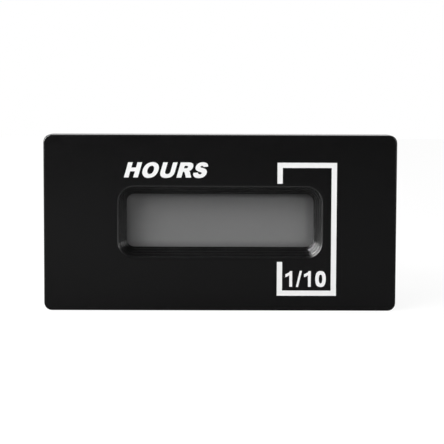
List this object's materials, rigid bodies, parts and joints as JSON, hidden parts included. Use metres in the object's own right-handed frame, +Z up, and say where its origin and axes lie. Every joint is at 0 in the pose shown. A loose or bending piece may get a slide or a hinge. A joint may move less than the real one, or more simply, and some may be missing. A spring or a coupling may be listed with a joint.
{
  "type": "digital hour meter",
  "caption": "Panel-mount electronic hour meter: black rectangular bezel, blank liquid-crystal window in a stepped recess, deep case with ratchet teeth, sliding clip and quick-connect tabs.",
  "frame": {"origin": "centre of the bounding box at its base, level with the bezel's lower edge", "axes": "+X to the right as the front is read, -Y out of the front face, +Y toward the terminals, +Z up"},
  "size_m": [0.048, 0.034, 0.024],
  "materials": {
    "bezel_moulding": "satin moulded black, very fine grain",
    "case_moulding": "matt moulded black",
    "clip_moulding": "matt moulded black",
    "holder_moulding": "moulded white-grey",
    "clear_lens": "clear polished",
    "display_glass": "clear thin glass",
    "polariser_film": "grey anti-glare film",
    "reflector_film": "brushed silver film",
    "black_rubber": "matt",
    "contact_elastomer": "soft, with a dark conducting core",
    "circuit_board": "green resist over glass fibre",
    "chip_moulding": "moulded epoxy with tinned pins",
    "header_moulding": "moulded black with tinned pins",
    "crystal_can": "drawn bright can",
    "bright_screw": "zinc plated",
    "tinned_tab": "tinned, satin",
    "capacitor_sleeve": "shrunk sleeve over an aluminium can",
    "film_box": "moulded box",
    "varistor_coat": "dipped coating",
    "resistor_coat": "lacquer with value bands"
  },
  "bodies": {
    "meter": {"front_bezel": "bezel_moulding", "window_lens": "clear_lens", "lens_seal": "black_rubber", "front_polariser": "polariser_film", "display_front_glass": "display_glass", "display_rear_glass": "display_glass", "rear_reflector": "reflector_film", "display_holder": "holder_moulding", "contact_strip_upper": "contact_elastomer", "contact_strip_lower": "contact_elastomer", "display_board": "circuit_board", "counter_chip": "chip_moulding", "memory_chip": "chip_moulding", "timing_crystal": "crystal_can", "link_header": "header_moulding", "holder_screw_1": "bright_screw", "holder_screw_2": "bright_screw", "holder_screw_3": "bright_screw", "holder_screw_4": "bright_screw", "power_board": "circuit_board", "smoothing_capacitor": "capacitor_sleeve", "dropper_capacitor": "film_box", "surge_varistor": "varistor_coat", "bridge_rectifier": "chip_moulding", "dropper_resistor_1": "resistor_coat", "dropper_resistor_2": "resistor_coat", "power_board_screw_1": "bright_screw", "power_board_screw_2": "bright_screw", "rear_case": "case_moulding", "terminal_left": "tinned_tab", "terminal_right": "tinned_tab", "panel_gasket": "black_rubber"},
    "clip": {"mounting_clip": "clip_moulding"}
  },
  "joints": [
    {"name": "clip_slide", "type": "slide", "parent": "meter", "child": "clip", "axis": [0, 1, 0], "range_m": [-0.002, 0.006]}
  ]
}
